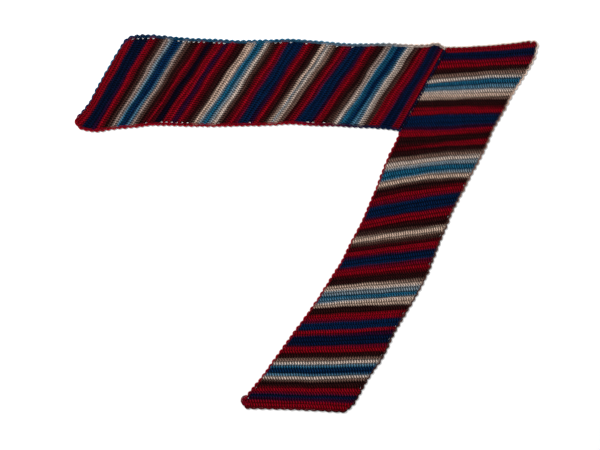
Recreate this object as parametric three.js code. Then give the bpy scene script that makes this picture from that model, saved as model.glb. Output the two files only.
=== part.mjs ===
// A crocheted shawl laid flat: two bias panels of ribbed crochet joined along a slanting seam,
// and one crocheted picot edging round the outline, kept as a strip for each side.
// Units are millimetres. +X is to the right, +Y is up the sheet, +Z is up from the surface.

import * as THREE from "three";
import { mergeVertices } from "three/addons/utils/BufferGeometryUtils.js";

// ---- driving dimensions ----

const LEFT_RIBS = 63;            // ribs in the left panel, counted from its free end
const RIGHT_RIBS = 84;           // ribs in the right panel, counted from its top edge
const JOINED_RIBS = 19;          // ribs of the right panel that end on the seam
const VALLEY_THICKNESS = 2.4;    // cloth between two ribs
const CREST_THICKNESS = 4.6;     // cloth at the top of a rib
const SEAM_GAP = 0.3;            // clearance between neighbouring pieces
const COURSE_STEPS = 6;          // straight steps along one rib
const MIDDLE_Y = 373;            // height on the sheet where the left panel's ribs are measured
const TANGENT_STEP = 0.01;       // part of a rib over which its direction is taken
const TIP_REACH = 17;            // how far the first rib's lower end is drawn out to the left
const TIP_RIBS = 5;              // the ribs after the first that are drawn out less and less
const TIP_SPAN = 0.25;           // part of a rib that is drawn out

const PICOT_PITCH = 16;          // from one picot of the edging to the next
const PICOT_STEPS = 3;           // sections in one picot
const EDGING_NARROW = 4.4;       // width of the edging between two picots
const EDGING_WIDE = 7.4;         // width of the edging at a picot
const EDGING_INNER_TOP = 4.4;    // its height next to the panel
const EDGING_OUTER_TOP = 3.0;    // its height at the outer side
const CORNER_STEP = 0.4;         // turn between two sections round a corner, radians
const SHARP_BEND = 0.1;          // a bend that gets a section of its own, radians
const CLOSEST_OUTSIDE = 1.2;     // other sections keep this far from a bend that turns outwards
const CLOSEST_INSIDE = 4;        // and this far from one that turns inwards, where they lean together
const EYELET_DEPTH = 5.2;        // how far a gap beside the edging reaches into the panel

// Where the strips of edging meet, in ribs of their panel. At the inner corner both need room.
const TIP_RIB = 3;               // the left panel's lower strip gives way to the one round its end
const TOP_RIB = 2;               // the left panel's upper strip gives way to the one round its end
const INNER_CORNER_RIBS = 1;     // the left panel's lower strip stops this far before the seam
const SEAM_FOOT_RIBS = 0.4;      // the right panel's inner strip starts this far below the seam
const KNOB_RIB = 82;             // the right panel's sides give way to its foot
const KNOB_BUTT_RIBS = 0.2;      // the inner strip stops this far before the foot
const BUTT_RIBS = 0.05;          // room between other strips that butt end to end
const TOP_STRIP_SPAN = [0.998, 0.01];   // part of the right panel's first rib under its top strip
const TOP_CORNER_TURN = 1.95;    // how far the side's strip turns round the top corner, radians

// The left panel's ribs run from its lower side (low) through MIDDLE_Y (mid) to its upper side (high).
const LEFT_COURSES = [
  { rib: 0, lowX: -595, lowY: 268, midX: -525, highX: -470, highY: 465 },
  { rib: 1, lowX: -593, lowY: 259, midX: -514, highX: -461, highY: 475 },
  { rib: 2, lowX: -585, lowY: 251, midX: -504, highX: -449, highY: 480 },
  { rib: 3, lowX: -571, lowY: 247, midX: -494, highX: -436, highY: 481 },
  { rib: 5, lowX: -546, lowY: 244, midX: -471, highX: -409, highY: 482 },
  { rib: 8, lowX: -508, lowY: 250, midX: -433, highX: -369, highY: 479 },
  { rib: 13, lowX: -444, lowY: 256, midX: -368, highX: -304, highY: 473 },
  { rib: 17, lowX: -391, lowY: 261, midX: -315, highX: -251, highY: 471 },
  { rib: 23, lowX: -310, lowY: 259, midX: -234, highX: -172, highY: 467 },
  { rib: 29, lowX: -229, lowY: 258, midX: -154, highX: -92, highY: 469 },
  { rib: 33, lowX: -175, lowY: 259, midX: -100, highX: -38, highY: 471 },
  { rib: 39, lowX: -94, lowY: 261, midX: -19, highX: 42, highY: 465 },
  { rib: 43, lowX: -39, lowY: 264, midX: 36, highX: 95, highY: 460 },
  { rib: 47, lowX: 17, lowY: 260, midX: 91, highX: 149, highY: 459 },
  { rib: 51, lowX: 73, lowY: 259, midX: 147, highX: 204, highY: 460 },
  { rib: 56, lowX: 144, lowY: 255, midX: 218, highX: 274, highY: 457 },
  { rib: 59, lowX: 187, lowY: 253, midX: 261, highX: 314, highY: 457 },
  { rib: 61, lowX: 217, lowY: 250, midX: 290, highX: 338, highY: 462 },
  { rib: 63, lowX: 248, lowY: 245, midX: 318, highX: 360, highY: 450 },
];

// The right panel's ribs run from its left side through its middle to its right side. Its first ribs
// start on the seam, bunched or spread as JOINED_STARTS gives, from the seam's top (1) to its foot (0).
const RIGHT_MIDDLES = [
  { rib: 0, x: 482, y: 455 },
  { rib: 3, x: 473, y: 428 },
  { rib: 6, x: 450, y: 394 },
  { rib: 12, x: 411, y: 326 },
  { rib: 16, x: 385, y: 284 },
  { rib: 19, x: 361, y: 249 },
  { rib: 25, x: 338, y: 182 },
  { rib: 31, x: 304, y: 111 },
  { rib: 34, x: 283, y: 73 },
  { rib: 38, x: 266, y: 26 },
  { rib: 43, x: 231, y: -36 },
  { rib: 47, x: 211, y: -85 },
  { rib: 53, x: 178, y: -151 },
  { rib: 58, x: 144, y: -208 },
  { rib: 65, x: 92, y: -286 },
  { rib: 71, x: 55, y: -348 },
  { rib: 77, x: 20, y: -408 },
  { rib: 80, x: -3, y: -439 },
  { rib: 84, x: -27, y: -480 },
];
const JOINED_STARTS = [
  { rib: 0, seam: 1 },
  { rib: 3, seam: 0.79 },
  { rib: 6, seam: 0.56 },
  { rib: 8, seam: 0.44 },
  { rib: 10, seam: 0.365 },
  { rib: 12, seam: 0.29 },
  { rib: 14, seam: 0.2 },
  { rib: 16, seam: 0.11 },
  { rib: 19, seam: 0 },
];
const RIGHT_STARTS = [
  { rib: 19, x: 248.3, y: 244.9 },
  { rib: 21, x: 243, y: 222 },
  { rib: 25, x: 217, y: 168 },
  { rib: 31, x: 186.5, y: 90 },
  { rib: 34, x: 170.5, y: 52 },
  { rib: 38, x: 149.5, y: 3 },
  { rib: 43, x: 119.5, y: -54 },
  { rib: 47, x: 96.5, y: -100 },
  { rib: 53, x: 57, y: -163 },
  { rib: 58, x: 23, y: -216 },
  { rib: 65, x: -30.5, y: -290 },
  { rib: 71, x: -74.5, y: -351 },
  { rib: 77, x: -116, y: -408 },
  { rib: 80, x: -140, y: -438 },
  { rib: 82, x: -152.5, y: -455 },
  { rib: 83, x: -161, y: -466 },
  { rib: 84, x: -155, y: -477 },
];
const RIGHT_ENDS = [
  { rib: 0, x: 599, y: 469 },
  { rib: 3, x: 591, y: 434 },
  { rib: 6, x: 572, y: 399 },
  { rib: 12, x: 528, y: 328 },
  { rib: 16, x: 506, y: 286 },
  { rib: 19, x: 487, y: 254 },
  { rib: 25, x: 458, y: 189 },
  { rib: 31, x: 421, y: 119 },
  { rib: 34, x: 406, y: 88 },
  { rib: 38, x: 381, y: 42 },
  { rib: 43, x: 355, y: -20 },
  { rib: 47, x: 335, y: -70 },
  { rib: 53, x: 307, y: -140 },
  { rib: 58, x: 274, y: -201 },
  { rib: 65, x: 227.5, y: -279 },
  { rib: 71, x: 197.5, y: -343 },
  { rib: 77, x: 157, y: -403 },
  { rib: 80, x: 136, y: -441 },
  { rib: 82, x: 123.5, y: -463 },
  { rib: 83, x: 113, y: -475 },
  { rib: 84, x: 99, y: -487 },
];

// Open gaps beside the edging, by the rib after which each one lies.
const EYELETS = {
  left: {
    low: [15, 18, 19, 20, 21, 22, 23, 29, 35, 46, 47, 49],
    high: [2, 3, 4, 5, 6, 9, 11, 12, 13, 14, 15, 16, 18, 19, 20, 26, 28, 30, 31, 33, 36, 40, 42, 45],
  },
  right: {
    low: [79, 82],
    high: [33, 40, 44, 50, 61, 64, 67, 71, 79],
  },
};

const COLOURS = {
  panel_left: 0x5c2327,
  panel_right: 0x4f2430,
  edging_left_lower: 0x7c1230,
  edging_left_end: 0x123a56,
  edging_left_upper: 0x3d6a7e,
  edging_right_top: 0xb9a795,
  edging_right_side: 0x6d5348,
  edging_right_foot: 0x3a1518,
  edging_right_inner: 0x8a1228,
};

// ---- curves through the tables ----

// A smooth value of one column at a rib: cubic Hermite between rows, with finite-difference slopes.
function at(table, column, rib) {
  const last = table.length - 1;
  let i = 0;
  while (i < last - 1 && rib > table[i + 1].rib) i += 1;
  const slope = (k) => {
    const before = table[Math.max(k - 1, 0)];
    const after = table[Math.min(k + 1, last)];
    return (after[column] - before[column]) / (after.rib - before.rib);
  };
  const span = table[i + 1].rib - table[i].rib;
  const t = (rib - table[i].rib) / span;
  const rise = table[i + 1][column] - table[i][column];
  const bend = (1 - t) * (slope(i) * span - rise) - t * (slope(i + 1) * span - rise);
  return table[i][column] + t * rise + t * (1 - t) * bend;
}

const point = (table, rib) => new THREE.Vector2(at(table, "x", rib), at(table, "y", rib));

// A rib's line: the parabola through its start, middle and end.
function courseThrough(start, middle, end) {
  return (t) => new THREE.Vector2()
    .addScaledVector(start, (1 - t) * (1 - 2 * t))
    .addScaledVector(middle, 4 * t * (1 - t))
    .addScaledVector(end, t * (2 * t - 1));
}

// The first ribs' lower ends are drawn out into the panel's tip.
function leftCourse(rib) {
  const reach = TIP_REACH * Math.max(0, 1 - rib / TIP_RIBS);
  const low = new THREE.Vector2(at(LEFT_COURSES, "lowX", rib) + reach, at(LEFT_COURSES, "lowY", rib));
  const middle = new THREE.Vector2(at(LEFT_COURSES, "midX", rib), MIDDLE_Y);
  const high = new THREE.Vector2(at(LEFT_COURSES, "highX", rib), at(LEFT_COURSES, "highY", rib));
  const course = courseThrough(low, middle, high);
  return (t) => {
    const drawn = Math.max(0, 1 - t / TIP_SPAN);
    return course(t).add(new THREE.Vector2(-reach * drawn * drawn, 0));
  };
}

// Ribs that end on the seam start on the left panel's last rib, moved over by the gap.
function seamPoint(t) {
  const course = leftCourse(LEFT_RIBS);
  const along = course(t + TANGENT_STEP).sub(course(t - TANGENT_STEP)).normalize();
  return course(t).add(new THREE.Vector2(along.y, -along.x).multiplyScalar(SEAM_GAP));
}

function rightCourse(rib) {
  const joined = rib <= JOINED_RIBS;
  const start = joined ? seamPoint(at(JOINED_STARTS, "seam", rib)) : point(RIGHT_STARTS, rib);
  return courseThrough(start, point(RIGHT_MIDDLES, rib), point(RIGHT_ENDS, rib));
}

// ---- geometry ----

function closedGeometry(positions, triangles) {
  const geometry = new THREE.BufferGeometry();
  geometry.setAttribute("position", new THREE.Float32BufferAttribute(positions, 3));
  geometry.setIndex(triangles);
  const merged = mergeVertices(geometry, 1e-4);
  merged.computeVertexNormals();
  return merged;
}

// A ribbed sheet: a section at each valley and crest, raised over a flat underside.
// An eyelet pulls a valley's end in from the side.
function panelGeometry(course, ribs, eyelets) {
  const rows = [];
  for (let k = 0; k <= 2 * ribs; k += 1) {
    const line = course(k / 2);
    const length = line(0).distanceTo(line(1));
    const height = k % 2 === 0 ? VALLEY_THICKNESS : CREST_THICKNESS;
    const from = k % 2 === 0 && eyelets.low.includes(k / 2) ? EYELET_DEPTH / length : 0;
    const to = 1 - (k % 2 === 0 && eyelets.high.includes(k / 2) ? EYELET_DEPTH / length : 0);
    const row = [];
    for (let j = 0; j <= COURSE_STEPS; j += 1) {
      const p = line(from + (to - from) * (j / COURSE_STEPS));
      row.push(new THREE.Vector3(p.x, p.y, height));
    }
    rows.push(row);
  }

  const positions = [];
  const triangles = [];
  const add = (x, y, z) => {
    positions.push(x, y, z);
    return positions.length / 3 - 1;
  };
  const quad = (a, b, c, d) => triangles.push(a, b, c, a, c, d);

  const top = rows.map((row) => row.map((p) => add(p.x, p.y, p.z)));
  for (let i = 0; i < rows.length - 1; i += 1) {
    for (let j = 0; j < COURSE_STEPS; j += 1) {
      quad(top[i][j], top[i + 1][j], top[i + 1][j + 1], top[i][j + 1]);
    }
  }

  // The outline runs anticlockwise: along the starts, up the last rib, back along the ends.
  const outline = [
    ...top.map((row) => row[0]),
    ...top.at(-1).slice(1, -1),
    ...top.map((row) => row[COURSE_STEPS]).reverse(),
    ...top[0].slice(1, -1).reverse(),
  ];
  const corner = (index) => new THREE.Vector2(positions[3 * index], positions[3 * index + 1]);
  const flat = outline.map(corner);
  const foot = flat.map((p) => add(p.x, p.y, 0));
  outline.forEach((upper, k) => {
    const next = (k + 1) % outline.length;
    quad(foot[k], foot[next], outline[next], upper);
  });
  for (const [a, b, c] of THREE.ShapeUtils.triangulateShape(flat, [])) {
    triangles.push(foot[a], foot[c], foot[b]);
  }
  return closedGeometry(positions, triangles);
}

// Places along a side, each with its outward direction. The side is walked anticlockwise round
// the panel. A sharp bend gets a place of its own, so that the edging keeps its clearance there,
// and lastTurn carries the edging on round the corner at the side's end.
function sideStations(points, lastTurn) {
  const outward = points.slice(1).map((p, i) => {
    const along = p.clone().sub(points[i]).normalize();
    return new THREE.Vector2(along.y, -along.x);
  });
  const distances = [0];
  points.slice(1).forEach((p, i) => distances.push(distances[i] + p.distanceTo(points[i])));
  const total = distances.at(-1);

  const bends = [];
  for (let i = 1; i < outward.length; i += 1) {
    const half = Math.acos(Math.min(outward[i].dot(outward[i - 1]), 1)) / 2;
    if (2 * half > SHARP_BEND) {
      const out = outward[i].clone().add(outward[i - 1]).normalize();
      const room = outward[i - 1].cross(outward[i]) > 0 ? CLOSEST_OUTSIDE : CLOSEST_INSIDE;
      bends.push({ s: distances[i], at: points[i], out, gap: SEAM_GAP / Math.cos(half), room });
    }
  }

  const steps = Math.round((total * PICOT_STEPS) / PICOT_PITCH);
  const stations = [];
  for (let k = 0, i = 0; k <= steps; k += 1) {
    const s = (total * k) / steps;
    while (i < outward.length - 1 && s > distances[i + 1]) i += 1;
    const along = (s - distances[i]) / (distances[i + 1] - distances[i]);
    const place = points[i].clone().lerp(points[i + 1], along);
    if (bends.every((bend) => Math.abs(bend.s - s) > bend.room)) {
      stations.push({ s, at: place, out: outward[i], gap: SEAM_GAP });
    }
  }
  const all = [...stations, ...bends].sort((a, b) => a.s - b.s);

  const end = all.at(-1);
  const turns = Math.round(lastTurn / CORNER_STEP);
  for (let k = 1; k <= turns; k += 1) {
    const angle = (lastTurn * k) / turns;
    const s = end.s + (PICOT_PITCH / PICOT_STEPS) * k;
    all.push({ ...end, s, out: end.out.clone().rotateAround(new THREE.Vector2(), angle) });
  }
  return all;
}

// The edging on one side: four corners a section, its outer side swelling at each picot.
function edgingGeometry(stations) {
  const positions = [];
  const triangles = [];
  for (const { s, at: place, out, gap } of stations) {
    const swell = (1 - Math.cos((2 * Math.PI * s) / PICOT_PITCH)) / 2;
    const width = EDGING_NARROW + (EDGING_WIDE - EDGING_NARROW) * swell;
    const inner = place.clone().addScaledVector(out, gap);
    const outer = inner.clone().addScaledVector(out, width);
    positions.push(inner.x, inner.y, 0, inner.x, inner.y, EDGING_INNER_TOP);
    positions.push(outer.x, outer.y, EDGING_OUTER_TOP, outer.x, outer.y, 0);
  }
  for (let k = 0; k < stations.length - 1; k += 1) {
    for (let j = 0; j < 4; j += 1) {
      const a = 4 * k + j;
      const b = 4 * k + ((j + 1) % 4);
      triangles.push(a, b, b + 4, a, b + 4, a + 4);
    }
  }
  const end = 4 * (stations.length - 1);
  triangles.push(0, 2, 1, 0, 3, 2);
  triangles.push(end, end + 1, end + 2, end, end + 2, end + 3);
  return closedGeometry(positions, triangles);
}

// ---- pieces ----

const shawl = new THREE.Group();

function addPiece(name, geometry) {
  const material = new THREE.MeshStandardMaterial({ color: COLOURS[name], roughness: 0.9, metalness: 0 });
  const mesh = new THREE.Mesh(geometry, material);
  mesh.name = name;
  shawl.add(mesh);
}

// Points of a panel's side: the starts (t = 0) or ends (t = 1) of its ribs, at each half rib.
function ribEnds(course, from, to, t) {
  const step = Math.sign(to - from) / 2;
  const first = step > 0 ? Math.floor(from * 2 + 1) / 2 : Math.ceil(from * 2 - 1) / 2;
  const ribs = [from];
  for (let rib = first; (to - rib) * step > 0; rib += step) ribs.push(rib);
  return [...ribs, to].map((rib) => course(rib)(t));
}

// Points of a rib from one place on it down to another, at the panel's own steps between them.
function ribLine(line, from, to) {
  const steps = [from];
  for (let j = COURSE_STEPS; j >= 0; j -= 1) {
    if (j / COURSE_STEPS < from && j / COURSE_STEPS > to) steps.push(j / COURSE_STEPS);
  }
  return [...steps, to].map(line);
}

addPiece("panel_left", panelGeometry(leftCourse, LEFT_RIBS, EYELETS.left));
addPiece("panel_right", panelGeometry(rightCourse, RIGHT_RIBS, EYELETS.right));

// The strips of edging, each walked anticlockwise round its panel.
const sides = [
  {
    name: "edging_left_lower",
    points: ribEnds(leftCourse, TIP_RIB, LEFT_RIBS - INNER_CORNER_RIBS, 0),
  },
  {
    name: "edging_left_end",
    points: [
      ...ribEnds(leftCourse, TOP_RIB, 0, 1),
      ...ribLine(leftCourse(0), 1, 0).slice(1, -1),
      ...ribEnds(leftCourse, 0, TIP_RIB - BUTT_RIBS, 0),
    ],
  },
  {
    name: "edging_left_upper",
    points: ribEnds(leftCourse, LEFT_RIBS - BUTT_RIBS, TOP_RIB + BUTT_RIBS, 1),
  },
  {
    name: "edging_right_top",
    points: ribLine(rightCourse(0), ...TOP_STRIP_SPAN),
  },
  {
    name: "edging_right_side",
    points: ribEnds(rightCourse, KNOB_RIB, 0, 1),
    lastTurn: TOP_CORNER_TURN,
  },
  {
    name: "edging_right_foot",
    points: [
      ...ribEnds(rightCourse, KNOB_RIB, RIGHT_RIBS, 0),
      ...ribLine(rightCourse(RIGHT_RIBS), 1, 0).slice(1, -1).reverse(),
      ...ribEnds(rightCourse, RIGHT_RIBS, KNOB_RIB + BUTT_RIBS, 1),
    ],
  },
  {
    name: "edging_right_inner",
    points: ribEnds(rightCourse, JOINED_RIBS + SEAM_FOOT_RIBS, KNOB_RIB - KNOB_BUTT_RIBS, 0),
  },
];
for (const { name, points, lastTurn = 0 } of sides) {
  addPiece(name, edgingGeometry(sideStations(points, lastTurn)));
}

// The origin is the middle of the underside's box.
const box = new THREE.Box3().setFromObject(shawl);
const middle = box.getCenter(new THREE.Vector3());
shawl.children.forEach((mesh) => mesh.geometry.translate(-middle.x, -middle.y, 0));

export default shawl;
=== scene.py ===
# A crocheted shawl laid flat: two ribbed, striped bias panels joined at a slanting seam, with a
# scalloped edging all round. Lengths in the tables are in millimetres; Blender's are in metres.

import math

import bpy
import numpy as np
from bpy.props import FloatProperty, FloatVectorProperty, IntProperty, PointerProperty
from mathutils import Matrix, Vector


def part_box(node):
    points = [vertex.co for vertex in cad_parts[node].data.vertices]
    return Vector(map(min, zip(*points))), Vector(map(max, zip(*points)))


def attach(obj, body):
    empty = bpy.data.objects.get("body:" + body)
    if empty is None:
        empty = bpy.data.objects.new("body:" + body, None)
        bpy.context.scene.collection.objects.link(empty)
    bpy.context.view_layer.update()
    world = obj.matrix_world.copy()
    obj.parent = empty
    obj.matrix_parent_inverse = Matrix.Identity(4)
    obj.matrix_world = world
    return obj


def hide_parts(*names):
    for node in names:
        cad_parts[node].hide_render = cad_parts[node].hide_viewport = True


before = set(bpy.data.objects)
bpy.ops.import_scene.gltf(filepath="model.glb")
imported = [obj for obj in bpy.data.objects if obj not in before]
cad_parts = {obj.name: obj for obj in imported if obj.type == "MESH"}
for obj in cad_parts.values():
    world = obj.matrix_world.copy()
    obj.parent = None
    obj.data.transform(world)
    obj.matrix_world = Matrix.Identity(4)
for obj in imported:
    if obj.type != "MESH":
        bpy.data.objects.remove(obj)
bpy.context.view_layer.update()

bl_info = {
    "name": "Crocheted Shawl",
    "version": (1, 0, 0),
    "blender": (4, 5, 0),
    "location": "3D View > Sidebar > Shawl",
    "description": "Makes a striped, ribbed crochet shawl in two panels with a scalloped edging",
    "category": "Add Mesh",
}

MM = 0.001

# ---- the two panels, as the part's source has them ----

LEFT_RIBS, RIGHT_RIBS, JOINED_RIBS = 63, 84, 19
MIDDLE_Y = 373                 # where each of the left panel's ribs has its middle
SEAM_GAP = 0.3
# The left tip's bend: how deep it is, over how many ribs and over what share of a rib's length.
TIP_REACH, TIP_RIBS, TIP_SPAN = 17, 5, 0.25
SOURCE_PLACES = np.linspace(0, 1, 7)    # places along a rib

# rib, low x, low y, middle x, high x, high y
LEFT_COURSES = np.array([
    (0, -595, 268, -525, -470, 465),
    (1, -593, 259, -514, -461, 475),
    (2, -585, 251, -504, -449, 480),
    (3, -571, 247, -494, -436, 481),
    (5, -546, 244, -471, -409, 482),
    (8, -508, 250, -433, -369, 479),
    (13, -444, 256, -368, -304, 473),
    (17, -391, 261, -315, -251, 471),
    (23, -310, 259, -234, -172, 467),
    (29, -229, 258, -154, -92, 469),
    (33, -175, 259, -100, -38, 471),
    (39, -94, 261, -19, 42, 465),
    (43, -39, 264, 36, 95, 460),
    (47, 17, 260, 91, 149, 459),
    (51, 73, 259, 147, 204, 460),
    (56, 144, 255, 218, 274, 457),
    (59, 187, 253, 261, 314, 457),
    (61, 217, 250, 290, 338, 462),
    (63, 248, 245, 318, 360, 450),
], float)
# rib, how far up the seam it starts
JOINED_STARTS = np.array([
    (0, 1), (3, 0.79), (6, 0.56), (8, 0.44), (10, 0.365), (12, 0.29), (14, 0.2), (16, 0.11),
    (19, 0),
], float)
# rib, x, y
RIGHT_MIDDLES = np.array([
    (0, 482, 455), (3, 473, 428), (6, 450, 394), (12, 411, 326), (16, 385, 284),
    (19, 361, 249), (25, 338, 182), (31, 304, 111), (34, 283, 73), (38, 266, 26),
    (43, 231, -36), (47, 211, -85), (53, 178, -151), (58, 144, -208), (65, 92, -286),
    (71, 55, -348), (77, 20, -408), (80, -3, -439), (84, -27, -480),
], float)
RIGHT_STARTS = np.array([
    (19, 248.3, 244.9), (21, 243, 222), (25, 217, 168), (31, 186.5, 90), (34, 170.5, 52),
    (38, 149.5, 3), (43, 119.5, -54), (47, 96.5, -100), (53, 57, -163), (58, 23, -216),
    (65, -30.5, -290), (71, -74.5, -351), (77, -116, -408), (80, -140, -438),
    (82, -152.5, -455), (83, -161, -466), (84, -155, -477),
], float)
RIGHT_ENDS = np.array([
    (0, 599, 469), (3, 591, 434), (6, 572, 399), (12, 528, 328), (16, 506, 286),
    (19, 487, 254), (25, 458, 189), (31, 421, 119), (34, 406, 88), (38, 381, 42),
    (43, 355, -20), (47, 335, -70), (53, 307, -140), (58, 274, -201), (65, 227.5, -279),
    (71, 197.5, -343), (77, 157, -403), (80, 136, -441), (82, 123.5, -463),
    (83, 113, -475), (84, 99, -487),
], float)
# The rib after which each open gap beside the edging lies, at the ribs' starts and at their ends.
EYELETS = {
    "left": (
        (15, 18, 19, 20, 21, 22, 23, 29, 35, 46, 47, 49),
        (2, 3, 4, 5, 6, 9, 11, 12, 13, 14, 15, 16, 18, 19, 20, 26, 28, 30, 31, 33, 36, 40, 42, 45),
    ),
    "right": ((79, 82), (33, 40, 44, 50, 61, 64, 67, 71, 79)),
}
# How far the outline is pulled in at a gap, at the ribs' starts and at their ends.
EYELET_DEPTHS = {"left": (3.4, 3.7), "right": (3.6, 2.6)}
EYELET_HALF = 0.34             # half the width of a gap, in ribs
EYELET_NEAR = 0.6              # ribs from a gap within which a stitch is beside it
# Ribs by which the ribs wander, slowly and quickly. Then the waves along a rib, how far they move
# on from rib to rib, where the quick ones begin, and how far and how fast the slow ones sway.
WANDER = {"left": (0.12, 0.06), "right": (0.06, 0.04)}
SLOW_WAVES, QUICK_WAVES = 1.6, 3.7
SLOW_DRIFT, QUICK_DRIFT, QUICK_START = 0.071, -0.113, 0.2
SWAY, SWAY_RATE = 0.3, 0.37
FADE_RIBS = 2                  # ribs at a panel's ends over which the wander fades out

# ---- the yarn's stripes: each colour, and the rib where it ends at the start of the ribs (the
# left panel's lower side, the right panel's left side), at their middle and at their far end ----

CHART_SLIDE = {"left": 0.44, "right": 0.25}    # ribs by which each chart is moved along its panel
RUN_IN = 0.22                  # ribs over which one colour turns into the next
LEFT_STRIPES = (
    ("red", 1.6, 1.2, 1.9), ("dark navy", 3.5, 3.9, 4.7), ("plum", 4.6, 4.5, 4.8),
    ("red", 5.7, 5.7, 5.9), ("dark red", 5.9, 6.1, 6.6), ("bark", 6.9, 7.1, 7.2),
    ("brown", 7.7, 7.8, 7.8), ("rosy beige", 8.6, 8.6, 8.7), ("grey blue", 8.8, 9.1, 9.4),
    ("teal", 9.4, 9.5, 9.5), ("deep teal", 10.7, 11.2, 11.4), ("blue", 11.5, 11.6, 11.6),
    ("rosy beige", 12.4, 12.5, 12.3), ("brown", 13.1, 13.2, 13.2), ("bark", 13.7, 14.1, 14.3),
    ("dark red", 14.7, 14.8, 14.8), ("red", 15.2, 15.6, 15.6), ("dark red", 16.2, 16.1, 16.4),
    ("midnight", 17.7, 17.3, 17.4), ("dark red", 17.8, 17.6, 18.1), ("red", 19.4, 19.2, 19.5),
    ("plum", 19.8, 20.0, 20.3), ("purple", 20.6, 20.4, 20.5), ("red", 21.6, 21.6, 21.8),
    ("dark red", 22.3, 22.4, 22.6), ("bark", 23.0, 23.6, 23.8), ("brown", 23.8, 23.9, 24.1),
    ("beige", 24.7, 25.3, 25.7), ("grey blue", 25.4, 25.6, 25.8), ("teal", 26.5, 26.9, 27.5),
    ("grey blue", 27.2, 27.6, 27.6), ("ecru", 28.2, 28.5, 28.5), ("brown", 29.0, 29.4, 29.5),
    ("bark", 29.6, 30.1, 30.3), ("dark red", 30.4, 30.4, 30.5), ("red", 31.4, 31.6, 31.7),
    ("wine", 32.3, 32.3, 32.1), ("sea navy", 34.2, 34.5, 35.0), ("plum", 35.3, 35.3, 35.3),
    ("red", 36.3, 36.4, 36.5), ("dark red", 36.9, 37.0, 37.4), ("bark", 37.4, 38.1, 38.4),
    ("brown", 38.2, 38.6, 38.6), ("beige", 38.7, 39.3, 39.5), ("grey blue", 39.2, 39.7, 39.8),
    ("ecru", 39.8, 40.4, 40.5), ("taupe", 40.8, 41.3, 41.4), ("bark", 41.0, 41.7, 42.1),
    ("dark red", 42.1, 42.3, 42.4), ("red", 43.0, 43.3, 43.5), ("wine", 43.2, 44.1, 44.5),
    ("sea navy", 45.9, 46.4, 46.8), ("plum", 46.6, 47.2, 47.4), ("red", 47.8, 48.5, 48.7),
    ("dark red", 48.3, 49.0, 49.5), ("bark", 49.1, 50.0, 50.7), ("brown", 50.3, 50.7, 50.8),
    ("rosy beige", 50.4, 51.3, 51.8), ("ecru", 51.2, 51.8, 51.8), ("grey blue", 51.4, 51.9, 51.9),
    ("teal", 52.6, 52.8, 53.0), ("deep teal", 53.4, 54.1, 54.4), ("teal", 53.7, 54.3, 54.7),
    ("blue", 54.9, 54.8, 54.9), ("ecru", 55.7, 55.9, 56.0), ("brown", 56.7, 57.0, 57.0),
    ("dark red", 56.9, 57.3, 57.9), ("red", 58.6, 58.9, 59.0), ("wine", 58.8, 59.4, 59.6),
    ("navy", 60.9, 60.9, 61.0), ("plum", 61.0, 61.3, 61.9), ("red", 62.0, 62.4, 62.5),
    ("plum", 63.0, 63.0, 63.0),
)
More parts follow.
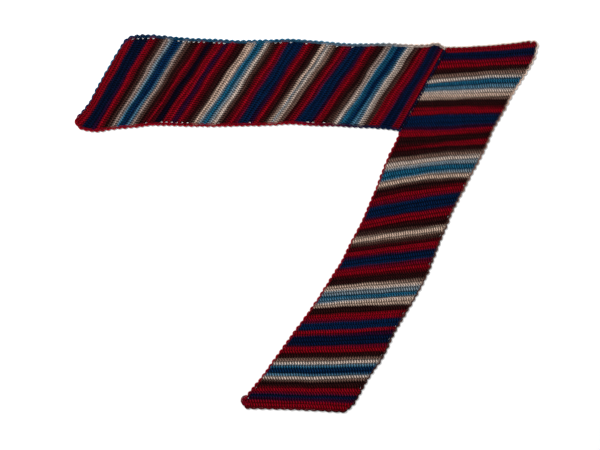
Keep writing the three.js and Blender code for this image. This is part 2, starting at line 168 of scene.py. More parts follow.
RIGHT_STRIPES = (
    ("red", 0.8, 0.6, 0.7), ("navy", 2.4, 2.6, 2.5), ("plum", 3.1, 2.9, 2.6),
    ("wine", 3.2, 3.2, 3.5), ("red", 4.7, 4.6, 4.5), ("bark", 5.9, 5.8, 5.5),
    ("taupe", 6.7, 6.7, 6.6), ("ecru", 7.6, 7.3, 7.3), ("grey blue", 7.8, 7.6, 7.5),
    ("teal", 8.5, 8.6, 8.4), ("deep teal", 8.8, 8.8, 8.6), ("blue", 10.0, 9.7, 9.3),
    ("grey blue", 10.2, 10.0, 9.9), ("ecru", 11.0, 10.9, 10.5), ("beige", 12.3, 11.9, 11.4),
    ("taupe", 12.4, 12.1, 12.2), ("bark", 14.1, 13.9, 13.6), ("dark red", 14.1, 14.1, 14.5),
    ("red", 15.7, 15.8, 15.6), ("purple", 15.8, 16.0, 16.1), ("sea navy", 18.4, 18.5, 18.2),
    ("purple", 19.1, 19.5, 19.0), ("red", 20.7, 20.6, 20.0), ("dark red", 20.8, 20.9, 20.6),
    ("bark", 22.3, 22.4, 21.5), ("dark red", 22.9, 22.5, 21.9), ("red", 22.9, 23.2, 23.2),
    ("dark red", 23.8, 23.3, 23.3), ("bark", 24.8, 24.7, 24.6), ("taupe", 25.8, 25.8, 25.5),
    ("ecru", 27.0, 26.8, 26.4), ("grey blue", 27.4, 27.6, 27.6), ("teal", 29.4, 29.2, 28.9),
    ("grey blue", 29.6, 29.5, 29.7), ("beige", 30.8, 30.8, 30.8), ("brown", 31.2, 31.3, 31.1),
    ("bark", 32.0, 32.3, 32.0), ("dark red", 33.0, 32.8, 32.3), ("red", 34.0, 34.0, 34.1),
    ("wine", 34.8, 34.8, 34.4), ("sea navy", 37.0, 37.7, 37.3), ("purple", 37.5, 37.9, 37.4),
    ("wine", 37.6, 38.0, 38.1), ("red", 39.4, 39.5, 39.4), ("dark red", 39.7, 40.0, 40.2),
    ("bark", 40.3, 40.9, 41.4), ("brown", 41.4, 41.8, 41.5), ("beige", 42.8, 43.1, 42.9),
    ("brown", 43.6, 43.9, 43.9), ("bark", 43.8, 44.2, 44.1), ("dark red", 44.7, 45.0, 44.6),
    ("red", 45.8, 46.1, 46.3), ("purple", 46.5, 46.6, 46.5), ("sea navy", 48.5, 48.6, 48.4),
    ("wine", 49.0, 49.5, 49.4), ("red", 50.7, 50.9, 50.9), ("dark red", 51.1, 51.3, 51.5),
    ("bark", 53.0, 53.0, 52.9), ("taupe", 53.1, 53.2, 53.7), ("beige", 53.9, 54.0, 54.0),
    ("ecru", 54.2, 54.5, 54.5), ("grey blue", 55.3, 55.6, 55.6), ("teal", 56.0, 56.4, 56.6),
    ("blue", 57.2, 56.9, 56.6), ("ecru", 57.6, 57.3, 57.2), ("beige", 58.2, 58.2, 58.5),
    ("bark", 59.9, 59.9, 59.6), ("dark red", 60.1, 60.1, 60.0), ("red", 61.1, 61.3, 61.4),
    ("wine", 62.0, 61.9, 61.7), ("sea navy", 63.8, 63.9, 63.8), ("red", 65.1, 64.9, 64.5),
    ("purple", 65.3, 65.4, 65.6), ("navy", 67.5, 67.9, 67.7), ("wine", 68.0, 68.2, 68.7),
    ("red", 69.2, 69.6, 69.8), ("dark red", 69.8, 69.9, 69.9), ("bark", 70.8, 71.0, 71.1),
    ("taupe", 71.7, 71.8, 71.8), ("ecru", 72.4, 72.6, 72.8), ("grey blue", 72.8, 72.9, 73.1),
    ("blue", 72.9, 73.2, 73.6), ("teal", 73.3, 73.5, 73.8), ("deep teal", 74.8, 75.2, 75.5),
    ("blue", 75.6, 75.8, 76.0), ("ecru", 76.3, 76.6, 76.6), ("taupe", 76.8, 77.1, 77.3),
    ("bark", 78.1, 78.4, 78.7), ("dark red", 78.6, 78.8, 78.9), ("red", 79.6, 79.8, 80.2),
    ("wine", 80.2, 80.4, 80.4), ("navy", 81.2, 81.3, 81.4), ("purple", 82.1, 82.1, 82.2),
    ("red", 84.0, 84.0, 84.0),
)

# The edging's colours: how far along its side each one lies.
EDGING_COLOURS = {
    "left lower": (
        (0, "red"), (0.7, "red"), (0.77, "wine"), (0.83, "purple"), (0.9, "navy"), (1, "navy"),
    ),
    "right inner": ((0, "red"), (0.92, "red"), (1, "dark red")),
    "right foot": ((0, "dark red"), (0.5, "dark red"), (1, "bark")),
    "right side": (
        (0, "bark"), (0.28, "brown"), (0.5, "brown"), (0.62, "taupe"), (0.8, "taupe"),
        (0.88, "beige"), (1, "ecru"),
    ),
    "right top": ((0, "ecru"), (1, "ecru")),
    "left upper": (
        (0, "ecru"), (0.1, "ecru"), (0.2, "grey blue"), (0.34, "blue"), (0.52, "teal"),
        (0.75, "teal"), (0.95, "deep teal"), (1, "deep teal"),
    ),
    "left end": (
        (0, "deep teal"), (0.25, "teal"), (0.8, "deep teal"), (0.93, "deep teal"), (1, "red"),
    ),
}
# Side of the edging: radius of its base cord, how far a scallop stands out, its length, how much
# wider the cord's stitches reach, and the share of the panel's own colours in the cord.
EDGING_FORMS = {
    "right inner": (1.5, 3.8, 15.0, 0.0, 0.35),
    "right foot": (1.4, 2.6, 19.0, 1.0, 0.6),
    "right side": (1.4, 4.0, 15.5, 0.0, 0.8),
    "right top": (1.7, 3.0, 13.0, 3.6, 1.0),
    "left upper": (1.6, 3.8, 14.5, 2.0, 0.3),
    "left end": (1.2, 3.0, 17.0, 1.8, 1.0),
    "left lower": (1.7, 3.4, 14.5, 2.0, 0.25),
}
SIDE_POINTS, END_POINTS = 240, 60    # places taken on a long side and on a short one
SOFT_REACH, SOFT_WIDTH = 9, 3.2      # millimetres over which the edging's corners are rounded
CORD_STEP = 3.1                # from one strand of the cord to the next
CORD_SHARE = 0.82              # its radius, as a share of the cord's
# Its points: along the edging, from inside (-1) to outside (1), height, share of its radius.
CORD_BAR = np.array([(-2.9, -1, 2.1, 0.7), (0, 0, 2.75, 1), (2.9, 1, 2.1, 0.7)])
SCALLOP_POINTS, SCALLOP_TURNS = 13, 2.5
SCALLOP_LAP = 0.03             # share of its length by which a scallop runs past its ends
SCALLOP_PLIES = (0, 2.1, 4.2)  # where round each other its strands are, in radians
SCALLOP_COIL = (0.75, 0.65)    # how wide they turn, outward and up
SCALLOP_PAINTED_LIGHT = (0.55, 0.85)   # painted shade at its ends, and painted light at its tip: how much lighter it is there
SCALLOP_POWER = 1.15           # above 1 its tip is narrower than a half wave's
FEET = (0.32, 0.5, 0.68)       # where along a scallop its joining strands are
# How far the joining strands are darkened: painted shade where they lie low under the scallops.
FOOT_PAINTED_SHADE = 0.55
# The points of such a strand: along the edging, share of the way out, and height.
FOOT_BAR = np.array([(-0.7, 0, 2.2), (0, 0.5, 2.3), (0.7, 1, 1.6)])
KNOB_PLACE = (-156, -461)      # middle of the round turn at the foot's inner corner
KNOB_RINGS = (4.5, 8.4, 12.3)  # radii of its rings
KNOB_FROM, KNOB_TO = 60, 330   # where round it they begin and end, in degrees
KNOB_POINTS, KNOB_HEIGHT, KNOB_STRAND = 25, 2.6, 1.3
KNOB_COIL, KNOB_TWIST = (0.7, 0.6), 0.9    # how wide its strands turn, and their turn for each mm

# ---- the seam's joining stitches ----

SEAM_STITCHES = 58
SEAM_END = 0.985               # share of the seam after which none is made
SEAM_RADIUS = 1.5
# The points of a joining stitch: across the seam, along it, and height.
SEAM_BAR = np.array([(-2.6, 1.6, 3.2), (-0.6, 0.6, 4.9), (2.2, -0.6, 4.9), (5.2, -1.6, 3.4)])
SEAM_DOT, SEAM_DOT_FIRST = 19, 8    # every 19th is a small light dot, from the ninth on
SEAM_DOT_SIZE, SEAM_DOT_TONE = 0.4, 0.2

# ---- the stitches and the ground below them ----

LINE_POINTS = 33               # points on a rib's line
CLOTH_STEPS, CLOTH_POINTS = 6, 31    # the ground's steps across a rib and points along it
GROUND_TOP = (1.5, 1.1)        # the ground's height in a valley, and how much it rises to a crest
GROUND_UNDER = (0.9, 0.6)
BAR = {"left": 15.0, "right": 12.0}      # usual length of a stitch across its rib
PITCH = {"left": 5.1, "right": 6.0}      # usual room of a stitch, square to that
STAGGER = {"left": 0.25, "right": 0.0}   # how far each of a rib's two rows is shifted, in stitches
ROW_SHIFT = 0.35               # how far a whole rib may be shifted along itself, in stitches
PINCH, EYELET_PINCH = 0.2, 0.3     # how much shorter a rib's last stitches are, and more at a gap
PINCH_REACH = 1.5              # stitches over which that fades out
REACH_LIMITS, WIDTH_LIMITS = (0.5, 1.6), (0.6, 1.6)
SHADE_PLACES = (-0.375, -0.125, 0.125, 0.375)    # where across its rib a stitch takes its colours
RIB_PAINTED_LIGHT_AND_SHADE = {"left": (0.34, 1.18), "right": (0.0, 1.46)}    # painted shade on the yarn in a valley, painted light on a crest
# The points of a stitch: across its rib in bars, along it in pitches, its rise from the valley to
# the crest, and its share of the strand's radius.
STITCH = np.array([
    (0.5, -0.07, 0, 0.6), (0.38, -0.06, 0.62, 0.95), (0.22, 0, 1, 1.06), (0.06, 0.06, 0.95, 1),
    (-0.07, 0.07, 0.6, 0.7),
])
# The points of a stitch's back: across its rib in bars, height, and share of its radius.
BACK = np.array([(-0.5, 2, 0.7), (-0.2, 1.5, 1), (0.2, 1.5, 1), (0.5, 2, 0.7)])
BACK_RADIUS = 1.5
USUAL_PITCH = 6                # the pitch for which the strand's radius is given
STITCH_SIDES, BACK_SIDES = 5, 4
TONE_UNEVENNESS = 2.2          # how much more stitches differ in tone than in size
PLIES, PLY_TWIST = 3.0, 2200.0     # plies of the yarn, and their twist in radians for each metre
SEEDS = {"left": 10, "right": 20}
ROW_SEED, EDGING_SEEDS, SEAM_SEED = 3, {"left": 7, "right": 8}, 9

# ---- the setting ----

FLOOR_HALF = 6
LAMP_PLACE, LAMP_SIZE = (-1.9, 2.1, 2.9), (2.4, 1.8)
SENSOR_WIDTH = 36
FARTHEST = 50


# ---- lines and directions ----

def unit(vectors):
    """Vectors made 1 long."""
    return vectors / np.linalg.norm(vectors, axis=-1, keepdims=True)


def to_the_right(along):
    """Directions on the sheet, turned a quarter to the right."""
    return np.stack([along[..., 1], -along[..., 0]], -1)


def run_along(lines):
    """How far along its line each point is."""
    steps = np.linalg.norm(np.diff(lines, axis=-2), axis=-1)
    return np.concatenate([np.zeros(steps.shape[:-1] + (1,)), steps.cumsum(axis=-1)], axis=-1)


def columns_at(wanted, known, table):
    """Each column of a table, read off between its known places."""
    return np.stack([np.interp(wanted, known, column) for column in table.T], -1)


def paired(rib, t):
    return np.broadcast_arrays(np.asarray(rib, float), np.asarray(t, float))


# ---- the shapes of the panels ----

def smooth(table, column, rib):
    """A smooth value of one column at some ribs: cubic Hermite with finite-difference slopes."""
    known, value = table[:, 0], table[:, column]
    rib = np.asarray(rib, float)
    i = np.clip(np.searchsorted(known, rib, side="left") - 1, 0, len(known) - 2)
    before = np.maximum(np.arange(len(known)) - 1, 0)
    after = np.minimum(np.arange(len(known)) + 1, len(known) - 1)
    slope = (value[after] - value[before]) / (known[after] - known[before])
    span = known[i + 1] - known[i]
    t = (rib - known[i]) / span
    rise = value[i + 1] - value[i]
    bend = (1 - t) * (slope[i] * span - rise) - t * (slope[i + 1] * span - rise)
    return value[i] + t * rise + t * (1 - t) * bend


def smooth_place(table, rib, columns=(1, 2)):
    return np.stack([smooth(table, column, rib) for column in columns], -1)


def through(start, middle, end, t):
    """Points of the parabola through three points."""
    t = np.asarray(t, float)[..., None]
    return start * (1 - t) * (1 - 2 * t) + middle * 4 * t * (1 - t) + end * t * (2 * t - 1)


def left_course(rib, t):
    """Where the left panel's ribs lie, from its lower side (t = 0) to its upper side."""
    rib, t = paired(rib, t)
    reach = TIP_REACH * np.maximum(0, 1 - rib / TIP_RIBS)
    low, high = smooth_place(LEFT_COURSES, rib), smooth_place(LEFT_COURSES, rib, (4, 5))
    low[..., 0] += reach
    middle = np.stack([smooth(LEFT_COURSES, 3, rib), np.full(rib.shape, float(MIDDLE_Y))], -1)
    place = through(low, middle, high, t)
    place[..., 0] -= reach * np.maximum(0, 1 - t / TIP_SPAN) ** 2
    return place


def last_rib(t, small=0.01):
    """Places on the left panel's last rib, the rib's direction there and the way off the panel."""
    along = unit(left_course(LEFT_RIBS, t + small) - left_course(LEFT_RIBS, t - small))
    return left_course(LEFT_RIBS, t), along, to_the_right(along)


def right_course(rib, t):
    """Where the right panel's ribs lie, from its left side (t = 0) to its right side."""
    rib, t = paired(rib, t)
    free = smooth_place(RIGHT_STARTS, np.maximum(rib, JOINED_RIBS))
    seam, _, off = last_rib(smooth(JOINED_STARTS, 1, np.minimum(rib, JOINED_RIBS)))
    start = np.where((rib <= JOINED_RIBS)[..., None], seam + SEAM_GAP * off, free)
    return through(start, smooth_place(RIGHT_MIDDLES, rib), smooth_place(RIGHT_ENDS, rib), t)


def evenly(side, rib, share):
    """The parameter at shares of the length of each rib, one row for each rib."""
    t = np.linspace(0, 1, LINE_POINTS)
    run = run_along(PANELS[side][0](np.asarray(rib, float)[:, None], t[None, :]))
    run = run / run[:, -1:]
    share = np.broadcast_to(share, (len(run), np.shape(share)[-1]))
    return np.stack([np.interp(wanted, gone, t) for wanted, gone in zip(share, run)])


def frame_shift():
    """From the tables' origin to the frame's, found from the left panel's box."""
    low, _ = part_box("panel_left")
    places = left_course(np.arange(0, LEFT_RIBS + 0.1, 0.5)[:, None], SOURCE_PLACES[None, :])
    return np.array(low)[:2] / MM - places.reshape(-1, 2).min(0)


def wandering(side, course, ribs):
    """A course whose ribs wander a little between their ends, as they do in work done by hand."""
    by_slow, by_quick = WANDER[side]

    def place(rib, t):
        rib, t = paired(rib, t)
        ends = np.clip(np.minimum(rib, ribs - rib) / FADE_RIBS, 0, 1)
        fade = ends * np.sin(np.pi * np.clip(t, 0, 1))
        sway = SWAY * np.sin(SWAY_RATE * rib)
        slow = np.sin(2 * np.pi * (SLOW_WAVES * t + SLOW_DRIFT * rib + sway))
        quick = np.sin(2 * np.pi * (QUICK_WAVES * t + QUICK_DRIFT * rib + QUICK_START))
        return course(rib + fade * (by_slow * slow + by_quick * quick), t)
    return place


SHIFT = frame_shift()
PANELS = {
    "left": (wandering("left", left_course, LEFT_RIBS), LEFT_RIBS, LEFT_STRIPES),
    "right": (wandering("right", right_course, RIGHT_RIBS), RIGHT_RIBS, RIGHT_STRIPES),
}


# ---- sizes and colours that a user would change ----

def number(name, description, default, **more):
    return FloatProperty(name=name, description=description, default=default, **more)


def length(name, description, default):
    return number(name, description, default, subtype="DISTANCE", unit="LENGTH")


def angle(name, description, default):
    return number(name, description, math.radians(default), subtype="ANGLE", unit="ROTATION")


def count(name, description, default):
    return IntProperty(name=name, description=description, default=default, min=4)


def colour(name, description, default):
    return FloatVectorProperty(
        name=name, description=description, default=default, size=3, min=0, max=1, subtype="COLOR")


class ShawlSizes(bpy.types.PropertyGroup):
    """Sizes of the crochet"""
    left_stitches: count("Left stitches", "Stitches in a row of the left panel", 41)
    right_stitches: count("Right stitches", "Stitches in a row of the right panel", 39)
    left_lean: angle("Left lean", "Direction in which the left panel's stitches lie", 0)
    right_lean: angle("Right lean", "Direction in which the right panel's stitches lie", -70)
    strand: length("Strand", "Radius of the yarn in a stitch", 0.0015)
    crest: length("Crest", "Height of the yarn's middle at the top of a rib", 0.0036)
    valley: length("Valley", "Height of the yarn's middle where it dips between two ribs", 0.0011)
    wobble: angle("Wobble", "How far a stitch may turn from its row", 7)
    uneven: number("Unevenness", "Share by which stitches differ in size", 0.07, min=0, max=0.5)
    edging_strand: length("Edging strand", "Radius of one of the edging's three strands", 0.00115)


class ShawlColours(bpy.types.PropertyGroup):
    """Colours of the yarn and of the setting"""
    red: colour("Red", "Crimson stripes", (0.235, 0.0002, 0.0068))
    dark_red: colour("Dark red", "Crimson on its way to brown", (0.058, 0.0008, 0.0034))
    wine: colour("Wine", "Between red and purple", (0.118, 0.0005, 0.014))
    purple: colour("Purple", "Between wine and navy", (0.029, 0.0013, 0.0205))
    plum: colour("Plum", "Between purple and navy", (0.0165, 0.0017, 0.023))
    dark_navy: colour("Dark navy", "The blue stripe at the left end", (0.0004, 0.0046, 0.0235))
    sea_navy: colour("Sea navy", "Navy with a little green", (0.0002, 0.0125, 0.053))
    midnight: colour("Midnight", "The darkest, purple going to black", (0.0022, 0.001, 0.0095))
    navy: colour("Navy", "Dark blue stripes", (0.0007, 0.0072, 0.0362))
    deep_teal: colour("Deep teal", "Between navy and teal", (0.0003, 0.019, 0.068))
    teal: colour("Teal", "Teal stripes", (0.009, 0.102, 0.19))
    blue: colour("Blue", "Teal on its way to grey", (0.072, 0.182, 0.275))
    grey_blue: colour("Grey blue", "Light grey blue", (0.188, 0.244, 0.285))
    ecru: colour("Ecru", "The lightest stripes", (0.575, 0.456, 0.388))
    beige: colour("Beige", "Warm beige stripes", (0.575, 0.405, 0.315))
    rosy_beige: colour("Rosy beige", "Beige with a tint of red", (0.333, 0.237, 0.203))
    taupe: colour("Taupe", "Between beige and brown", (0.188, 0.107, 0.082))
    brown: colour("Brown", "Dark brown stripes", (0.07, 0.031, 0.024))
    bark: colour("Bark", "The darkest brown", (0.022, 0.0036, 0.004))
    floor: colour("Floor", "The surface that the shawl lies on", (0.93, 0.93, 0.93))


class ShawlSetting(bpy.types.PropertyGroup):
    """The light and the camera"""
    field: length("Field", "Width of floor that the camera sees", 1.56)
    across: length("Across", "How far the view's middle is to the right of the shawl's", -0.0157)
    up: length("Up", "How far the view's middle is above the shawl's", -0.0052)
    lens: number("Lens", "Focal length in millimetres", 100, min=20)
    sky: number("Sky", "Strength of the light from all round", 0.66, min=0)
    key: number("Key", "Power of the large soft light in watts", 170, min=0)


def hue(name):
    return np.array(getattr(bpy.context.scene.shawl_colours, name.replace(" ", "_")), float)


def stripe_colours(side, rib, share):
    """The yarn's colour at places on a panel. One colour runs into the next over RUN_IN."""
    stripes = PANELS[side][2]
    rib, share = paired(np.asarray(rib, float) - CHART_SLIDE[side], share)
    dyed = np.broadcast_to(hue(stripes[0][0]), rib.shape + (3,)).copy()
    for (_, low, middle, high), (following, *_) in zip(stripes, stripes[1:]):
        ends = np.interp(share, (0, 0.5, 1), (low, middle, high))
        weight = np.clip((rib - ends) / RUN_IN + 0.5, 0, 1)[..., None]
        dyed += (hue(following) - dyed) * weight
    return dyed


# ---- plain mesh work ----

def new_object(name, places, faces=(), edges=()):
    mesh = bpy.data.meshes.new(name)
    mesh.from_pydata([tuple(p) for p in places], list(edges), list(faces))
    mesh.validate()
    thing = bpy.data.objects.new(name, mesh)
    bpy.context.scene.collection.objects.link(thing)
    return thing


def give(thing, name, kind, values):
    """Stores one value for each vertex."""
    values = np.asarray(values, np.float32)
    if kind == "FLOAT_COLOR" and values.shape[-1] == 3:
        values = np.concatenate([values, np.ones(values.shape[:-1] + (1,), np.float32)], -1)
    key = {"FLOAT": "value", "FLOAT_VECTOR": "vector", "FLOAT_COLOR": "color"}[kind]
    thing.data.attributes.new(name, kind, "POINT").data.foreach_set(key, values.ravel())


def tubes(name, lines, radii, sides):
    """Closed tubes along lines of points, with their strand's run and turn stored."""
    places, faces, strand = [], [], []
    for line, radius in zip(lines, radii):
        line = np.asarray(line, float)
        along = unit(np.gradient(line, axis=0))
        side = unit(np.cross(along, (0, 0, 1.0)))
        up = np.cross(side, along)
        run = run_along(line)
        first = len(places)
        for k, centre in enumerate(line):
            for j in range(sides):
                turn = 2 * math.pi * j / sides
                out = math.cos(turn) * side[k] + math.sin(turn) * up[k]
                places.append(centre + radius[k] * out)
                strand.append((math.cos(turn), math.sin(turn), run[k]))
        for k in range(len(line) - 1):
            for j in range(sides):
                a, b = first + k * sides + j, first + k * sides + (j + 1) % sides
                faces.append((a, b, b + sides, a + sides))
        last = first + (len(line) - 1) * sides
        faces.append(tuple(first + j for j in reversed(range(sides))))
        faces.append(tuple(last + j for j in range(sides)))
    thing = new_object(name, places, faces)
    give(thing, "strand", "FLOAT_VECTOR", strand)
    return thing


# ---- node trees ----

class Nodes:
    """Adds nodes to a tree, linked by socket name or number. Each method gives an output."""

    def __init__(self, tree):
        self.tree = tree

    def add(self, kind, inputs=None, output=0, **settings):
        """Adds one node and gives one of its outputs, or all of them for None."""
        node = self.tree.nodes.new(kind)
        for key, value in settings.items():
            setattr(node, key, value)
        for key, value in (inputs or {}).items():
            if isinstance(value, bpy.types.NodeSocket):
                self.tree.links.new(value, node.inputs[key])
            else:
                node.inputs[key].default_value = value
        return node.outputs if output is None else node.outputs[output]

    def maths(self, operation, a, b=0.0, c=0.0):
        return self.add("ShaderNodeMath", {0: a, 1: b, 2: c}, operation=operation)

    def ranged(self, value, low, high, to_low=0.0, to_high=1.0):
        inputs = {0: value, 1: low, 2: high, 3: to_low, 4: to_high}
        return self.add("ShaderNodeMapRange", inputs)

    def mixed(self, share, a, b):
        return self.add("ShaderNodeMix", {0: share, 6: a, 7: b}, 2, data_type="RGBA")

    def joined(self, x=0.0, y=0.0, z=0.0):
        return self.add("ShaderNodeCombineXYZ", {"X": x, "Y": y, "Z": z})

    def named(self, name, kind="FLOAT"):
        return self.add("GeometryNodeInputNamedAttribute", {"Name": name}, data_type=kind)

    def store(self, geometry, name, value, kind="FLOAT"):
        inputs = {"Geometry": geometry, "Name": name, "Value": value}
        node = "GeometryNodeStoreNamedAttribute"
        return self.add(node, inputs, data_type=kind, domain="POINT")

    def forget(self, geometry, *names):
        for name in names:
            inputs = {"Geometry": geometry, "Name": name}
            geometry = self.add("GeometryNodeRemoveAttribute", inputs)
        return geometry

    def noise(self, scale, detail, roughness):
        """Noise that stays in place on the object."""
        where = self.add("ShaderNodeTexCoord", output="Object")
        inputs = {"Vector": where, "Scale": scale, "Detail": detail, "Roughness": roughness}
        return self.add("ShaderNodeTexNoise", inputs, "Fac")


def shape_tree(name, wanted):
    """A Geometry Nodes tree with a geometry in and out and the named inputs that are wanted."""
    tree = bpy.data.node_groups.new(name, "GeometryNodeTree")
    tree.is_modifier = True
    for way in ("INPUT", "OUTPUT"):
        tree.interface.new_socket("Geometry", in_out=way, socket_type="NodeSocketGeometry")
    for label, kind in wanted:
        tree.interface.new_socket(label, in_out="INPUT", socket_type="NodeSocket" + kind)
    nodes = Nodes(tree)
    return nodes, nodes.add("NodeGroupInput", output=None)


def finish_tree(nodes, geometry, material):
    """Ends a tree: smooth, with how much each place faces up or down stored for the yarn's painted
    light and shade, and given its material.
    """
    shaded = nodes.add("GeometryNodeSetShadeSmooth", {"Geometry": geometry})
    real = nodes.add("GeometryNodeRealizeInstances", {"Geometry": shaded})
    facing = nodes.add("ShaderNodeSeparateXYZ", {0: nodes.add("GeometryNodeInputNormal")}, 2)
    faced = nodes.store(real, "facing", nodes.maths("ABSOLUTE", facing))
    painted = nodes.add("GeometryNodeSetMaterial", {"Geometry": faced, "Material": material})
    nodes.add("NodeGroupOutput", {"Geometry": painted}, output=None)
    return nodes.tree


def stitch_tree():
    """Lays a stitch at even steps along each rib's line and dyes it, with painted shade in the
    valleys and painted light on the crests.
    """
    if "Shawl stitches" in bpy.data.node_groups:
        return bpy.data.node_groups["Shawl stitches"]
    nodes, given = shape_tree("Shawl stitches", (
        ("Stitch", "Object"), ("Count", "Int"), ("Wobble", "Float"), ("Unevenness", "Float"),
        ("Seed", "Int"), ("Yarn", "Material"), ("Valley shade", "Float"), ("Crest shade", "Float"),
    ))

    def spread(amount, salt):
        low = nodes.maths("MULTIPLY", amount, -1.0)
        seed = nodes.maths("ADD", given["Seed"], float(salt))
        inputs = {2: low, 3: amount, 8: seed}
        return nodes.add("FunctionNodeRandomValue", inputs, 1, data_type="FLOAT")

    def uneven(salt, times=1.0):
        amount = nodes.maths("MULTIPLY", given["Unevenness"], times)
        return nodes.maths("ADD", spread(amount, salt), 1.0)

    lines = nodes.add("GeometryNodeMeshToCurve", {"Mesh": given["Geometry"]})
    even = {"Curve": lines, "Count": given["Count"]}
    places = nodes.add("GeometryNodeCurveToPoints", even, mode="COUNT")
    places = nodes.store(places, "own", uneven(4, TONE_UNEVENNESS))
    turn = nodes.maths("ADD", nodes.named("turn"), spread(given["Wobble"], 1))
    rotation = nodes.add("FunctionNodeEulerToRotation", {0: nodes.joined(z=turn)})
    size = uneven(2)
    reach = nodes.maths("MULTIPLY", nodes.named("reach"), size)
    width = nodes.maths("MULTIPLY", nodes.named("width"), size)
    stitch = nodes.add("GeometryNodeObjectInfo", {"Object": given["Stitch"]}, "Geometry")
    laid = nodes.add("GeometryNodeInstanceOnPoints", {
        "Points": places, "Instance": stitch, "Rotation": rotation,
        "Scale": nodes.joined(reach, width, uneven(3)),
    })
    real = nodes.add("GeometryNodeRealizeInstances", {"Geometry": laid})
    shades = [f"shade {k}" for k in range(len(SHADE_PLACES))]
    dye = nodes.named(shades[0], "FLOAT_COLOR")
    for shade, low, high in zip(shades[1:], SHADE_PLACES, SHADE_PLACES[1:]):
        share = nodes.ranged(nodes.named("across"), low + 0.5, high + 0.5)
        dye = nodes.mixed(share, dye, nodes.named(shade, "FLOAT_COLOR"))
    # Painted shade and light: the yarn is darker down in a valley between ribs and lighter on a
    # crest.
    crest = nodes.maths("SINE", nodes.maths("MULTIPLY", nodes.named("across"), math.pi))
    lit = nodes.ranged(crest, 0.0, 1.0, given["Valley shade"], given["Crest shade"])
    value = nodes.maths("MULTIPLY", lit, nodes.named("own"))
    shaded = nodes.add("ShaderNodeVectorMath", {0: dye, "Scale": value}, operation="SCALE")
    dyed = nodes.store(real, "yarn", shaded, "FLOAT_COLOR")
    kept = nodes.forget(dyed, "turn", "reach", "width", "own", *shades)
    return finish_tree(nodes, kept, given["Yarn"])


def strand_tree():
    """Turns lines into strands of yarn with closed ends, as thick as the lines say."""
    if "Shawl strands" in bpy.data.node_groups:
        return bpy.data.node_groups["Shawl strands"]
    nodes, given = shape_tree("Shawl strands", (("Sides", "Int"), ("Yarn", "Material")))
    lines = nodes.add("GeometryNodeMeshToCurve", {"Mesh": given["Geometry"]})
    run = nodes.add("GeometryNodeSplineParameter", output="Length")
    circle = {"Resolution": given["Sides"], "Radius": 1.0}
    ring = nodes.add("GeometryNodeCurvePrimitiveCircle", circle)
    place = nodes.add("GeometryNodeInputPosition")
    swept = nodes.add("GeometryNodeCurveToMesh", {
        "Curve": nodes.store(lines, "run", run),
        "Profile Curve": nodes.store(ring, "round", place, "FLOAT_VECTOR"),
        "Scale": nodes.named("thick"), "Fill Caps": True,
    })
    about = nodes.add("ShaderNodeSeparateXYZ", {0: nodes.named("round", "FLOAT_VECTOR")}, None)
    strand = nodes.joined(about[0], about[1], nodes.named("run"))
    marked = nodes.store(swept, "strand", strand, "FLOAT_VECTOR")
    return finish_tree(nodes, nodes.forget(marked, "round", "run", "thick"), given["Yarn"])


def grow(thing, tree, values):
    """Runs a tree on an object and keeps what it makes as the object's own plain mesh."""
    modifier = thing.modifiers.new("Grow", "NODES")
    modifier.node_group = tree
    for item in tree.interface.items_tree:
        if item.item_type == "SOCKET" and item.in_out == "INPUT" and item.name in values:
            modifier[item.identifier] = values[item.name]
    thing.update_tag()
    bpy.context.view_layer.update()
    graph = bpy.context.evaluated_depsgraph_get()
    made = bpy.data.meshes.new_from_object(thing.evaluated_get(graph), depsgraph=graph)
    made.name = thing.name
    if not made.polygons:
        raise RuntimeError(f"{thing.name} came out empty")
    old = thing.data
    thing.modifiers.remove(modifier)
    thing.data = made
    bpy.data.meshes.remove(old)
    return thing


# ---- materials ----

def new_material(name, roughness, specular):
    """A material, its nodes and the inputs of its surface."""
    material = bpy.data.materials.new(name)
    material.use_nodes = True
    surface = material.node_tree.nodes["Principled BSDF"].inputs
    surface["Roughness"].default_value = roughness
    surface["Specular IOR Level"].default_value = specular
    return material, Nodes(material.node_tree), surface


def dye_wool(nodes, surface, value, height, strength, distance):
    """Gives a surface the colour stored as yarn, made lighter or darker by value, which carries
    painted light and shade, and a bump.
    """
    yarn = nodes.add("ShaderNodeAttribute", output="Color", attribute_name="yarn")
    tint = nodes.add("ShaderNodeHueSaturation", {"Color": yarn, "Value": value})
    shape = {"Strength": strength, "Distance": distance, "Height": height}
    nodes.tree.links.new(tint, surface["Base Color"])
    nodes.tree.links.new(nodes.add("ShaderNodeBump", shape), surface["Normal"])


